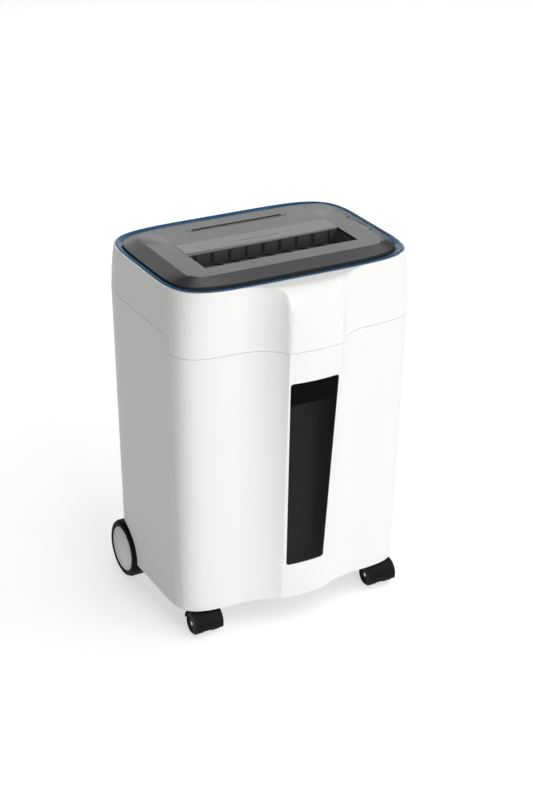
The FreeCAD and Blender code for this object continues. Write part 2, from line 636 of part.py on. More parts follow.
def bin_rail(side, name):
    """An upright guide along the base beside the bin's runner."""
    low = "base_height + base_wall"
    x = ("rail_x", "rail_x + rail_wall") if side > 0 else ("-rail_x - rail_wall", "-rail_x")
    keep(block(x, ("rail_front", "rail_back"), (low, f"{low} + rail_height")), name)


def bucket_box(inset, foot, top):
    return block(about("0", f"2 * bucket_half_width - 2 * ({inset})"),
                 (f"bucket_front + ({inset})", f"bucket_back - ({inset})"), (foot, top))


def bin_bucket():
    """The open bucket that catches the shreds."""
    corner = size("bucket_corner")
    outside = rounded(bucket_box("0", "bucket_foot", "bucket_top"), corner, upright)
    inside = rounded(bucket_box("bucket_wall", "bucket_foot + bucket_wall", "bucket_top + 1"),
                     corner - size("bucket_wall"), upright)
    holes = [rod("y", "screw_radius + running", ("bucket_front - 1", "bucket_front + bucket_wall + 1"), x, z)
             for x, z in BIN_BOSSES]
    keep(cut(outside, inside, *holes), "bin_bucket")


BIN_BOSSES = [(f"{sign}(bucket_half_width - bin_boss_inset)", z) for sign in ("-", "")
              for z in ("bin_boss_low", "bin_boss_high")]


def bin_runners():
    """Two slippery strips under the bucket."""
    foot = "base_height + base_wall + fit"
    strips = []
    for sign in ("-1", "1"):
        x = f"{sign} * (bucket_half_width - runner_width / 2)"
        strips.append(block((f"{x} - runner_width / 2", f"{x} + runner_width / 2"),
                            ("rail_front", "bucket_back - 8"), (foot, "bucket_foot")))
    keep(group(*strips), "bin_runners")


def window_prism(out):
    """The window's outline as a prism along Y: wider at the top, with rounded corners, swollen by out."""
    top, foot = size("window_top") + out, size("window_foot") - out
    corners = [V(-size("window_half_foot") - out, -260, foot), V(size("window_half_foot") + out, -260, foot),
               V(size("window_half_top") + out, -260, top), V(-size("window_half_top") - out, -260, top)]
    solid = prism(Part.makePolygon(corners + corners[:1]), V(0, 160, 0))
    edges = [e for e in solid.Edges if abs(e.Vertexes[0].Y - e.Vertexes[-1].Y) > 100]
    return solid.makeFillet(size("window_corner") + out, edges)


def bin_front():
    """The white front of the bin with its proud nose and the window's opening."""
    seam, fit = size("seam"), size("fit")
    foot, top = size("bottom_height"), size("parting_height") - seam
    outer, inner = column(foot, top), column(foot - 1, top + 1, size("shell_wall"))
    shell = outer.cut(inner).cut(side_tool(-seam / 5)).cut(window_prism(fit))
    bosses = []
    for side in (-1, 1):
        for height in ("bin_boss_low", "bin_boss_high"):
            root = V(side * (size("bucket_half_width") - size("bin_boss_inset")), size("bucket_front"), size(height))
            boss = Part.makeCylinder(size("bin_boss_radius"), 50, root, V(0, -1, 0)).common(outer)
            bore = size("screw_radius") + size("running")
            bosses.append(boss.cut(Part.makeCylinder(bore, size("bin_screw_length"), root, V(0, -1, 0))))
    return keep(formed(shell.fuse(bosses)), "bin_front")


def bin_window():
    """The smoked pane, let in just under the nose's face."""
    foot, top = size("bottom_height"), size("parting_height")
    inset, wall = size("window_inset"), size("window_wall")
    layer = column(foot, top, inset).cut(column(foot - 1, top + 1, inset + wall))
    return keep(formed(layer.common(window_prism(0))), "bin_window")


def bin_screws():
    """Screws from inside the bucket into the front's bosses."""
    face = "bucket_front + bucket_wall"
    screws = []
    for place in BIN_BOSSES:
        head = rod("y", "2 * screw_radius", (face, f"{face} + 2"), *place)
        shank = rod("y", "screw_radius", (f"{face} - bin_screw_length", f"{face} + 1"), *place)
        screws.append(fuse(head, shank))
    keep(group(*screws), "bin_screws")


# ---------------------------------------------------------------- mechanism
def front_axis_y():
    return size("nip_y") - size("cutter_spacing") / 2


def rear_axis_y():
    return size("nip_y") + size("cutter_spacing") / 2


def disc_front_y():
    """The disc cutters stand astride the disc slot; the front one meshes straight with the rear paper cutter."""
    return rear_axis_y() + size("transfer_module") * size("transfer_teeth")


def disc_rear_y():
    return disc_front_y() + size("disc_spacing")


def idler_place():
    """The idler stands in front of the front cutter, level with it."""
    reach = size("drive_module") * (size("drive_teeth") + size("idler_small_teeth")) / 2
    return front_axis_y() - reach, size("axis_height")


def motor_place():
    reach = size("motor_module") * (size("idler_large_teeth") + size("pinion_teeth")) / 2
    y, z = idler_place()
    angle = math.radians(size("motor_angle"))
    return y + reach * math.cos(angle), z + reach * math.sin(angle)


def gear(module, teeth, x, width, bore, y, z, phase=0, hub=0, hub_reach=0):
    """A spur gear along X with involute flanks, thinned for backlash; phase turns it by a share of a tooth."""
    pitch_radius = module * teeth / 2
    base_radius = pitch_radius * math.cos(math.radians(20))
    tip, root = pitch_radius + 0.9 * module, pitch_radius - 1.2 * module
    spread = math.tan(math.radians(20)) - math.radians(20)
    half_pitch = math.pi / (2 * teeth) * 0.9 + spread

    def flank(radius):
        if radius <= base_radius:
            return half_pitch
        roll = math.acos(base_radius / radius)
        return half_pitch - (math.tan(roll) - roll)

    stations = [root, max(root + 0.05 * module, min(base_radius, pitch_radius)), pitch_radius, tip]
    stations.insert(3, (pitch_radius + tip) / 2)
    points = []
    for tooth in range(teeth):
        middle = 2 * math.pi * (tooth + phase) / teeth
        rise = [(middle - flank(r), r) for r in stations]
        fall = [(middle + flank(r), r) for r in reversed(stations)]
        points += [V(x, y + r * math.cos(a), z + r * math.sin(a)) for a, r in rise + fall]
    solid = prism(Part.makePolygon(points + points[:1]), V(width, 0, 0))
    if hub:
        start = x if hub_reach < 0 else x + width
        outward = V(math.copysign(1, hub_reach), 0, 0)
        solid = solid.fuse(Part.makeCylinder(hub, abs(hub_reach), V(start, y, z), outward))
    hole = Part.makeCylinder(bore, width + 2 * abs(hub_reach) + 2, V(x - abs(hub_reach) - 1, y, z), V(1, 0, 0))
    return solid.cut(hole)


def along_x(radius, start, end, y, z):
    return Part.makeCylinder(radius, end - start, V(start, y, z), V(1, 0, 0))


def cutter_disc(radius, core, thick, notches, x, y, z, turn):
    """One toothed disc: a round plate with hooked notches."""
    disc = along_x(radius, x - thick / 2, x + thick / 2, y, z)
    depth = (radius - core) * 0.4
    cuts = []
    for i in range(notches):
        angle = 2 * math.pi * i / notches + turn
        corners = [(radius + 1, angle), (radius - depth, angle), (radius + 1, angle + 0.3)]
        points = [V(x - thick, y + r * math.cos(a), z + r * math.sin(a)) for r, a in corners]
        cuts.append(prism(Part.makePolygon(points + points[:1]), V(2 * thick, 0, 0)))
    return disc.cut(cuts)


def cutter(name, y, offset, radius, core, thick, pitch, count, notches, ends, hand=1):
    """A shaft with cutting discs at an even pitch; its partner's discs run in the gaps."""
    z = size("axis_height")
    shaft = along_x(size("journal_radius"), ends[0], ends[1], y, z)
    stack = pitch * count / 2
    rotor = shaft.fuse(along_x(core, -stack, stack, y, z))
    for i in range(count):
        x = (i - (count - 1) / 2) * pitch + offset
        rotor = rotor.fuse(cutter_disc(radius, core, thick, notches, x, y, z, hand * i * 0.35))
    keep(formed(rotor), name)


def cutters():
    """Two pairs that turn towards each other: long ones for paper and a short pair for discs."""
    flush = size("plate_inner") + size("plate_wall") + 1
    paper = [size(a) for a in ("cutter_radius", "cutter_core", "cutter_thick", "cutter_pitch")]
    paper += [int(size("cutter_count")), int(size("cutter_notches"))]
    quarter = size("cutter_pitch") / 4
    drive_end = size("drive_gear_x") + size("gear_wall") + 1.5
    sync_end = size("sync_gear_x") + size("gear_wall") + 1.5
    transfer_end = size("transfer_gear_x") - 1.5
    cutter("cutter_front", front_axis_y(), -quarter, *paper, (-flush, drive_end))
    cutter("cutter_rear", rear_axis_y(), quarter, *paper, (transfer_end, sync_end), -1)
    disc = [size(a) for a in ("disc_cutter_radius", "disc_cutter_core", "disc_cutter_thick", "disc_cutter_pitch")]
    disc += [int(size("disc_cutter_count")), int(size("cutter_notches"))]
    quarter = size("disc_cutter_pitch") / 4
    cutter("disc_cutter_front", disc_front_y(), -quarter, *disc, (transfer_end, sync_end))
    cutter("disc_cutter_rear", disc_rear_y(), quarter, *disc, (-flush, sync_end), -1)


def gears():
    """The drive train on the right, and the pair on the left that carries the drive back to the disc cutters."""
    z, wide, bore = size("axis_height"), size("gear_wall"), size("journal_radius")
    front, rear, disc_front, disc_rear = front_axis_y(), rear_axis_y(), disc_front_y(), disc_rear_y()
    hub = 1.6 * bore
    n = int(size("sync_teeth"))
    x = size("sync_gear_x")
    keep(formed(gear(size("sync_module"), n, x, wide, bore, front, z)), "sync_gear_front")
    keep(formed(gear(size("sync_module"), n, x, wide, bore, rear, z, phase_opposite(n))), "sync_gear_rear")
    teeth = int(size("drive_teeth"))
    gap = size("drive_gear_x") - x - wide - 0.5
    keep(formed(gear(size("drive_module"), teeth, size("drive_gear_x"), wide, bore, front, z, 0, hub, -gap)),
         "drive_gear")
    n = int(size("transfer_teeth"))
    x = size("transfer_gear_x")
    keep(formed(gear(size("transfer_module"), n, x, wide, bore, rear, z)), "transfer_gear_front")
    keep(formed(gear(size("transfer_module"), n, x, wide, bore, disc_front, z, phase_opposite(n))),
         "transfer_gear_rear")
    n = int(size("disc_sync_teeth"))
    x = size("sync_gear_x")
    module = size("disc_sync_module")
    keep(formed(gear(module, n, x, wide, bore, disc_front, z)), "disc_gear_front")
    keep(formed(gear(module, n, x, wide, bore, disc_rear, z, phase_opposite(n))), "disc_gear_rear")


def phase_opposite(teeth):
    """Turns a gear so that a gap, not a tooth, faces back towards a partner with a tooth facing it."""
    return 0.5 if teeth % 2 == 0 else 0


def idler_gear():
    """A compound gear: its small end is driven round the big gear, and its large end by the motor's pinion."""
    y, z = idler_place()
    bore = size("idler_stud_radius") + size("running")
    small = int(size("idler_small_teeth"))
    reach = size("drive_gear_x") - size("plate_inner") - size("plate_wall") - 1
    inner = gear(size("drive_module"), small, size("drive_gear_x"), size("gear_wall") + 2, bore, y, z,
                 idler_phase(small), bore + 2.4, -reach)
    turn = math.radians(size("motor_angle")) * int(size("idler_large_teeth")) / (2 * math.pi)
    outer = gear(size("motor_module"), int(size("idler_large_teeth")), size("motor_gear_x"), size("gear_wall"),
                 bore, y, z, turn % 1)
    return keep(formed(inner.fuse(outer).removeSplitter()), "idler_gear")


def idler_phase(teeth):
    """The big gear has a tooth or a gap facing forward; the idler has the other facing back."""
    facing_tooth = int(size("drive_teeth")) % 2 == 0
    return 0.5 if facing_tooth else 0


def motor_rotor():
    """The armature, its shaft with the pinion cut on its end, and the cooling fan."""
    y, z = motor_place()
    start, wall = size("plate_inner") - size("motor_length"), size("motor_wall") + 1
    teeth, x = int(size("pinion_teeth")), size("motor_gear_x") - 1
    fan = (start - size("fan_wall") - 1.5, start - 2.5)
    shaft = along_x(size("motor_shaft_radius"), fan[0] - 1.5, x, y, z)
    armature = along_x(size("rotor_radius"), start + wall + 14, size("plate_inner") - wall - 14, y, z)
    phase = (math.radians(size("motor_angle")) + math.pi) * teeth / (2 * math.pi) + 0.5
    pinion = gear(size("motor_module"), teeth, x, size("gear_wall") + 2, 0.8, y, z, phase % 1)
    blades = []
    for i in range(9):
        blade = straight_block(fan, (y + 6, y + size("fan_radius")), (z - 0.8, z + 0.8))
        blade.rotate(V(0, y, z), V(1, 0, 0), 40 * i)
        blades.append(blade)
    rotor = shaft.fuse([armature, pinion, along_x(8, *fan, y, z)] + blades)
    return keep(formed(rotor), "motor_rotor")


def motor_can():
    """The motor's steel can, flanged to the gear side plate, with a laminated ring inside."""
    start = "(plate_inner - motor_length)"
    can = rod("x", "motor_radius", (start, "plate_inner"), *MOTOR)
    hollow = rod("x", "motor_radius - motor_wall", (f"{start} + motor_wall", "plate_inner - motor_wall"), *MOTOR)
    lamination = rod("x", "motor_radius - motor_wall / 2", (f"{start} + motor_wall + 18",
                     "plate_inner - motor_wall - 18"), *MOTOR)
    middle = rod("x", "rotor_radius + 1", (f"{start} + motor_wall", "plate_inner - motor_wall"), *MOTOR)
    bore = rod("x", "motor_shaft_radius + running", (f"{start} - 1", "plate_inner + 1"), *MOTOR)
    keep(cut(fuse(cut(can, hollow), cut(lamination, middle)), bore), "motor_can")


FRONT_AXLE = "(nip_y - cutter_spacing / 2)"
REAR_AXLE = "(nip_y + cutter_spacing / 2)"
DISC_FRONT_AXLE = f"({REAR_AXLE} + transfer_module * transfer_teeth)"
AXLES = (FRONT_AXLE, REAR_AXLE, DISC_FRONT_AXLE, f"({DISC_FRONT_AXLE} + disc_spacing)")
IDLER = (f"({FRONT_AXLE} - drive_module * (drive_teeth + idler_small_teeth) / 2)", "axis_height")
MOTOR_REACH = "motor_module * (idler_large_teeth + pinion_teeth) / 2"
MOTOR = (f"({IDLER[0]} + {MOTOR_REACH} * cos(motor_angle))", f"(axis_height + {MOTOR_REACH} * sin(motor_angle))")
TIES = [(y, z) for y in ("(plate_front + 8)", "(plate_back - 7)")
        for z in ("(axis_height - 42)", "(axis_height + 30)")]


def side_plates():
    """Two steel plates that hold the cutters; the right one reaches forward to carry the motor and the idler."""
    for sign, name, front in ((-1, "left_side_plate", "plate_front"), (1, "gear_side_plate", "gear_plate_front")):
        plate = block(hand(sign, "plate_inner", "plate_inner + plate_wall"), (front, "plate_back"),
                      ("deck_height", "plate_top"))
        plate = rounded(plate, 14, lambda e: across(e) and e.Vertexes[0].Z > size("deck_height") + 1)
        through = hand(sign, "plate_inner - 1", "plate_inner + plate_wall + 1")
        tools = [rod("x", "journal_radius + bearing_wall", through, y, "axis_height") for y in AXLES]
        tools += [rod("x", "tie_radius - 1", through, *place) for place in TIES]
        if sign > 0:
            tools.append(rod("x", "motor_shaft_radius + 2", through, *MOTOR))
        plate = cut(plate, *tools)
        if sign > 0:
            stud = rod("x", "idler_stud_radius", ("plate_inner + 2", "motor_gear_x + gear_wall + 2"), *IDLER)
            plate = fuse(plate, stud)
        keep(plate, name)


def cutter_bearings():
    """Plain bearings pressed into the side plates, two to each axle."""
    bearings = []
    for y in AXLES:
        for sign in (-1, 1):
            ring = rod("x", "journal_radius + bearing_wall", hand(sign, "plate_inner", "plate_inner + plate_wall"),
                       y, "axis_height")
            through = hand(sign, "plate_inner - 1", "plate_inner + plate_wall + 1")
            bore = rod("x", "journal_radius + running", through, y, "axis_height")
            bearings.append(cut(ring, bore))
    keep(group(*bearings), "cutter_bearings")


def tie_rods():
    """Four rods, shouldered at each end, that hold the side plates apart."""
    rods = []
    for place in TIES:
        middle = rod("x", "tie_radius", about("0", "2 * plate_inner"), *place)
        rods.append(fuse(middle, rod("x", "tie_radius - 1", about("0", "2 * (plate_inner + plate_wall)"), *place)))
    keep(group(*rods), "tie_rods")


def comb(y, side, radius, core, thick, pitch, count, offset):
    """A stripper comb: fingers reach between a cutter's discs and lift the shreds off its core."""
    z = size("axis_height")
    inner = y + side * (core + 0.6)
    outer = y + side * (radius + 2)
    edge = outer + side * 4
    bar = straight_block((-size("plate_inner"), size("plate_inner")), sorted((outer, edge)), (z - 9, z + 9))
    finger_wide = pitch - thick - 1.6
    fingers = []
    for i in range(count - 1):
        x = (i - (count - 2) / 2) * pitch + offset
        fingers.append(straight_block((x - finger_wide / 2, x + finger_wide / 2), sorted((inner, outer)),
                                      (z - 5, z + 5)))
    return bar.fuse(fingers)


def combs():
    paper = [size(a) for a in ("cutter_radius", "cutter_core", "cutter_thick", "cutter_pitch")]
    paper.append(int(size("cutter_count")))
    quarter = size("cutter_pitch") / 4
    pair = [comb(front_axis_y(), -1, *paper, -quarter), comb(rear_axis_y(), 1, *paper, quarter)]
    return keep(formed(Part.makeCompound(pair)), "stripper_combs")


def mechanism_deck():
    """The black deck under the mechanism, with a chute for paper shreds and one for disc pieces."""
    plate = formed(oval_plate(size("deck_half_width"), size("deck_half_depth"), size("body_power"),
                              size("deck_height") - size("deck_wall"), size("deck_wall")))
    disc = ("disc_y - disc_chute_half_depth", "disc_y + disc_chute_half_depth")
    chutes = (("chute_half_width", ("chute_front", "chute_back")), ("disc_chute_half_width", disc))
    skirts = [block(about("0", f"2 * {half} + 4"), (f"{y[0]} - 2", f"{y[1]} + 2"),
                    ("deck_height - 16", "deck_height")) for half, y in chutes]
    tools = [block(about("0", f"2 * {half}"), y, ("deck_height - 20", "deck_height + 1")) for half, y in chutes]
    tools += [rod("z", "screw_radius + running", ("deck_height - deck_wall - 1", "deck_height + 1"), *place)
              for place in POSTS]
    keep(cut(fuse(plate, *skirts), *tools), "mechanism_deck")


POSTS = [(x, y) for x in ("-post_x", "post_x") for y in ("-post_y", "post_y")]


def head_screws():
    """Four screws up through the deck into the head's posts."""
    foot = "deck_height - deck_wall"
    screws = []
    for place in POSTS:
        head = rod("z", "2 * screw_radius", (f"{foot} - 2.2", foot), *place)
        shank = rod("z", "screw_radius", (f"{foot} - 1", "deck_height + screw_length - 3"), *place)
        screws.append(fuse(head, shank))
    keep(group(*screws), "head_screws")


def gear_cover():
    """A thin cover over the gear train, open towards the side plate."""
    radius, wall = size("gear_cover_corner"), size("gear_cover_wall")
    inner = "(plate_inner + plate_wall)"

    def box(inset, x_low, z_low):
        solid = block((x_low, f"gear_cover_reach + gear_cover_wall - ({inset})"),
                      (f"gear_plate_front + 1 + ({inset})", f"plate_back - 1 - ({inset})"),
                      (z_low, f"plate_top - ({inset})"))
        high = lambda e: across(e) and e.Vertexes[0].Z > size("deck_height") + 1
        return rounded(solid, radius - wall if inset != "0" else radius, high)

    outside, inside = box("0", inner, "deck_height"), box("gear_cover_wall", f"{inner} - 1", "deck_height - 1")
    keep(cut(outside, inside), "gear_cover")


def control_board():
    """The circuit board on four feet, with its transformer, relay, capacitor and terminal block."""
    face = "deck_height + 5"
    top = f"{face} + board_wall"
    board = block(about("board_x", "board_length"), about("board_y", "board_width"), (face, top))
    feet = [rod("z", "2.5", ("deck_height", face), x, y) for x in about("board_x", "board_length - 8")
            for y in about("board_y", "board_width - 8")]
    parts = [block(about(f"board_x + {x}", long), about(f"board_y + {y}", wide), (top, f"{top} + {high}"))
             for x, y, long, wide, high in ((-17, -1, 22, 22, 18), (10, -8, 16, 12, 14), (29, 2, 10, 20, 8))]
    capacitor = rod("z", "6", (top, f"{top} + 22"), "board_x + 12", "board_y + 9")
    keep(fuse(board, capacitor, *feet, *parts), "control_board")


def bin_switch():
    """The switch under the deck that the bin's edge trips."""
    under = "deck_height - deck_wall"
    keep(block(("-156", "-136"), ("bucket_front + 8", "bucket_front + 16"), (f"{under} - 7", under)), "bin_switch")


# ---------------------------------------------------------------- back of the head
INLET_FACE = "(rim_half_depth - 1.5)"
INLET_LEFT = "(inlet_x - inlet_length / 2 + 4)"
SWITCH_X = "(inlet_x + inlet_length / 2 - switch_length / 2 - 4)"


def power_inlet():
    """The module in the head's back: a recessed mains inlet with three pins beside an opening for the switch."""
    socket = f"({INLET_LEFT} + socket_length / 2)"
    module = block(about("inlet_x", "inlet_length"), (f"{INLET_FACE} - inlet_depth", INLET_FACE),
                   about("inlet_height", "inlet_width"))
    recess = block(about(socket, "socket_length"), (f"{INLET_FACE} - socket_depth", f"{INLET_FACE} + 1"),
                   about("inlet_height", "socket_width"))
    key = block(about(SWITCH_X, "switch_length + 2 * fit"), (f"{INLET_FACE} - 14", f"{INLET_FACE} + 1"),
                about("inlet_height", "switch_width + 2.4"))
    pins = [block(about(f"{socket} + {x}", "2"), (f"{INLET_FACE} - socket_depth - 1", f"{INLET_FACE} - 4"),
                  about(f"inlet_height + {z}", "5")) for x, z in ((-7, -2), (0, 3), (7, -2))]
    pin_hole = rod("x", "pin_radius + running", about(SWITCH_X, "switch_length + 2 * pin_reach + 0.4"),
                   f"{INLET_FACE} - switch_pivot_depth", "inlet_height")
    keep(fuse(cut(module, recess, key, pin_hole), *pins), "power_inlet")


def power_rocker():
    """The mains rocker: a wedge that tips about a pin across the module."""
    x = size("inlet_x") + size("inlet_length") / 2 - size("switch_length") / 2 - 4
    z = size("inlet_height")
    face = size("rim_half_depth") - 1.5
    half = size("switch_width") / 2
    points = [V(0, face - 3, z - half), V(0, face + 0.9, z - half), V(0, face - 0.6, z), V(0, face + 0.9, z + half),
              V(0, face - 3, z + half), V(0, face - 9, z + 4), V(0, face - 9, z - 4)]
    wide = size("switch_length")
    key = prism(Part.makePolygon(points + points[:1]), V(wide, 0, 0))
    key.translate(V(x - wide / 2, 0, 0))
    reach = wide / 2 + size("pin_reach")
    pin = along_x(size("pin_radius"), x - reach, x + reach, face - size("switch_pivot_depth"), z)
    return keep(formed(key.fuse(pin)), "power_rocker")


def vent_grille():
    """The slotted grille that cools the motor."""
    face = "rim_half_depth - 1.2"
    plate = block(about("grille_x", "grille_length"), (f"{face} - 2.4", face), about("inlet_height", "inlet_width"))
    pitch = "grille_length / (grille_slots + 0.5)"
    slots = [block(about(f"grille_x + ({i} - (grille_slots - 1) / 2) * {pitch}", "grille_slot_width"),
                   (f"{face} - 5", f"{face} + 1"), about("inlet_height", "inlet_width - 6"))
             for i in range(int(size("grille_slots")))]
    keep(cut(plate, *slots), "vent_grille")


# ---------------------------------------------------------------- wheels
def side_sign(side):
    return {"left": -1, "right": 1}[side]


def caster_hood(side):
    """The black caster body: a middle web, a hood over both wheels and the stem it swivels on."""
    x, y, z = side_sign(side) * size("caster_x"), size("caster_y") - size("caster_trail"), size("caster_radius")
    web, radius, wall = size("caster_web"), size("hood_radius"), size("hood_wall")
    wide = web + size("caster_gap") + size("caster_wheel_wall") + size("caster_gap")
    arch = along_x(radius, x - wide, x + wide, y, z)
    arch = arch.cut(along_x(radius - wall, x - wide - 1, x - web, y, z))
    arch = arch.cut(along_x(radius - wall, x + web, x + wide + 1, y, z))
    below = straight_block((x - 50, x + 50), (y - 60, y + 60), (z - 60, z - 3))
    below.rotate(V(x, y, z), V(1, 0, 0), 14)
    web_low = along_x(radius - 8, x - web, x + web, y, z)
    hood = arch.cut(below).fuse(web_low)
    neck = straight_block((x - web - 3, x + web + 3), (size("caster_y") - 7, size("caster_y") + 7),
                          (z + 8, size("socket_foot") - 2))
    wheel_spaces = [along_x(radius - wall, x + a, x + b, y, z) for a, b in ((-wide - 1, -web), (web, wide + 1))]
    stem = Part.makeCylinder(size("stem_radius"), size("stem_top") - z - 8, V(x, size("caster_y"), z + 8))
    stem = stem.fuse(neck.cut(wheel_spaces))
    bore = along_x(size("caster_axle_radius") + size("running") / 2, x - 60, x + 60, y, z)
    hood = hood.cut([bore, neck])
    return keep(formed(Part.makeCompound([hood.removeSplitter(), stem.removeSplitter()])), "caster_hood_" + side)


def caster_axle(side):
    x = {"left": "-caster_x", "right": "caster_x"}[side]
    reach = "2 * (caster_web + caster_gap + caster_wheel_wall - 1)"
    axle = rod("x", "caster_axle_radius", about(x, reach), "caster_y - caster_trail", "caster_radius")
    keep(axle, "caster_axle_" + side)


def caster_wheel(side, place):
    """One of a caster's twin wheels: a rounded tread and a dished outer face."""
    x = side_sign(side) * size("caster_x")
    out = 1 if place == "outer" else -1
    out *= side_sign(side)
    y, z = size("caster_y") - size("caster_trail"), size("caster_radius")
    inner, outer = size("caster_web") + size("caster_gap"), size("caster_web") + size("caster_gap") + size(
        "caster_wheel_wall")
    r = size("caster_radius")
    soft = 2.5
    profile = [(0, inner), (r - 1, inner), (r, inner + 1), (r, outer - soft), (r - soft, outer), (r - 5, outer),
               (r - 6.5, outer - 1.2), (0, outer - 1.2)]
    points = [V(0, radius, width) for radius, width in profile]
    wheel = Part.Face(Part.makePolygon(points + points[:1])).revolve(V(), V(0, 0, 1), 360)
    wheel = wheel.cut(Part.makeCylinder(size("caster_axle_radius") + size("running"), 100, V(0, 0, -20)))
    wheel.Placement = FreeCAD.Placement(V(x, y, z), FreeCAD.Rotation(V(0, 1, 0), 90 * out))
    return keep(formed(wheel), f"caster_wheel_{side}_{place}")


def rear_axle():
    """The steel axle across the base."""
    axle = rod("x", "rear_axle_radius", ("-rear_outer + 12", "rear_outer - 12"), "rear_wheel_y", "rear_radius")
    return keep(axle, "rear_axle")


def rear_wheel(side):
    """The big rear wheel: a black tyre with rounded edges on a hub whose outer face is a pale flat cap."""
    tyre = turned("tyre_turning_" + side, [
        ("cap_radius", "-rear_wall"), ("rear_radius - 5", "-rear_wall"), ("rear_radius", "5 - rear_wall"),
        ("rear_radius", "-6"), ("rear_radius - 2", "-2"), ("rear_radius - 6", "0"), ("cap_radius + 2", "0"),
        ("cap_radius", "-2")])
    hub = turned("hub_turning_" + side, [
        ("rear_axle_radius + running", "2 - rear_wall"), ("cap_radius - 12", "2 - rear_wall"),
        ("cap_radius", "6 - rear_wall"), ("cap_radius", "-cap_recess - 0.6"), ("cap_radius - 0.8", "-cap_recess"),
        ("0.01", "-cap_recess"), ("0.01", "-11"), ("rear_axle_radius + running", "-11")])
    for piece, name in ((tyre, "rear_tyre_"), (hub, "rear_hub_")):
        holder = doc.addObject("Part::Compound", "wheel")
        holder.Links = [piece]
        holder.Placement = FreeCAD.Placement(V(), FreeCAD.Rotation(V(0, 1, 0), 90 * side_sign(side)))
        move(holder, f"{side_sign(side)} * rear_outer", "rear_wheel_y", "rear_radius")
        keep(holder, name + side)





# ---------------------------------------------------------------- build and write
for make in (head_shell, trim_ring, top_cover, throat_liner, throat_ribs, guide_strip, disc_slot_bezel,
             indicator_lenses, control_bay, mode_rocker, cabinet_wrap, base_tray, caster_sockets, bin_bucket,
             bin_runners, bin_front, bin_window, bin_screws, mechanism_deck, head_screws, side_plates, cutter_bearings,
             tie_rods, combs, cutters, gears, idler_gear, motor_can, motor_rotor, gear_cover, control_board, bin_switch,
             power_inlet, power_rocker, vent_grille, rear_axle):
    make()
for side in ("left", "right"):
    bin_rail(side_sign(side), "bin_rail_" + side)
    caster_hood(side)
    caster_axle(side)
    caster_wheel(side, "inner")
    caster_wheel(side, "outer")
    rear_wheel(side)

doc.recompute()
for thing in doc.Objects:
    if "Invalid" in thing.State or "Error" in thing.State:
        raise RuntimeError(f"{thing.Label} failed: {thing.State}")
for thing in sub_parts:
    if thing.Shape.isNull() or not thing.Shape.isValid():
        raise RuntimeError(f"{thing.Label} has no valid shape")
os.makedirs("parts", exist_ok=True)
for thing in sub_parts:
    thing.Shape.exportStep(f"parts/{thing.Label}.step")
    box = thing.Shape.optimalBoundingBox()
    print(f"{thing.Label:22s} {len(thing.Shape.Solids):3d} solids {thing.Shape.Volume / 1000:9.1f} cm3 "
          f"X {box.XMin:7.1f} {box.XMax:7.1f} Y {box.YMin:7.1f} {box.YMax:7.1f} Z {box.ZMin:6.1f} {box.ZMax:6.1f}")
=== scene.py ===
"""Looks for a castered office paper shredder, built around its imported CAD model, in metres."""

import json
import math

import bmesh
import bpy
from mathutils import Matrix, Vector

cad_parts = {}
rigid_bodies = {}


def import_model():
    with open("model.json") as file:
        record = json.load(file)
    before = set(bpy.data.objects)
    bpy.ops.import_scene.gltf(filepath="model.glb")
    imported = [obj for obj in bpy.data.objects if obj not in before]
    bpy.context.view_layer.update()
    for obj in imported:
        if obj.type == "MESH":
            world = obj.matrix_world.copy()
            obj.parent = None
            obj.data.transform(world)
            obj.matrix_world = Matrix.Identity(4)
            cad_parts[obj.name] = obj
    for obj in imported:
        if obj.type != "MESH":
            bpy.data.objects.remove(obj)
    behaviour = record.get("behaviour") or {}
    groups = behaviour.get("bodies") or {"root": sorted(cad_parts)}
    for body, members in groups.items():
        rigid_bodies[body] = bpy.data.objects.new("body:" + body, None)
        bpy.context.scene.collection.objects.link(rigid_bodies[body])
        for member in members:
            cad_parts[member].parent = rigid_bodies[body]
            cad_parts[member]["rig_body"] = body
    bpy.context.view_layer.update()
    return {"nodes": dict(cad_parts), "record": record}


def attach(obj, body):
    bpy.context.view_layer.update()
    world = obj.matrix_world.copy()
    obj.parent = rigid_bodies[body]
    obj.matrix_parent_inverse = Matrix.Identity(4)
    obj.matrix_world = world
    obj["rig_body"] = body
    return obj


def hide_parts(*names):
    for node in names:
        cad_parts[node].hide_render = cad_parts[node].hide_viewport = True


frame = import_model()
MM = 0.001


# ---------------------------------------------------------------- base and rear axle
# The base is one black moulding with a plain skirt under the cabinet's edge. It carries the steel
# caster sockets and the steel axle of the two large wheels.
class Level:
    """A shader value that can be added, taken away and multiplied like a number."""

    def __init__(self, tree, socket):
        self.tree = tree
        self.socket = socket

    def combined(self, operation, first, second):
        node = self.tree.nodes.new("ShaderNodeMath")
        node.operation = operation
        for socket, value in zip(node.inputs, (first, second)):
            join(self.tree, socket, value)
        return Level(self.tree, node.outputs[0])

    def __add__(self, other):
        return self.combined("ADD", self, other)

    def __mul__(self, other):
        return self.combined("MULTIPLY", self, other)

    def __sub__(self, other):
        return self.combined("SUBTRACT", self, other)

    def __rsub__(self, other):
        return self.combined("SUBTRACT", other, self)

    def over(self, other):
        return self.combined("GREATER_THAN", self, other)

    def absolute(self):
        return self.combined("ABSOLUTE", self, 0)

    def at_least(self, other):
        return self.combined("MAXIMUM", self, other)

    __radd__ = __add__
    __rmul__ = __mul__


def join(tree, socket, value):
    """Feeds a shader socket with a link or a plain value."""
    if isinstance(value, Level):
        tree.links.new(value.socket, socket)
    elif isinstance(value, bpy.types.NodeSocket):
        tree.links.new(value, socket)
    else:
        socket.default_value = value


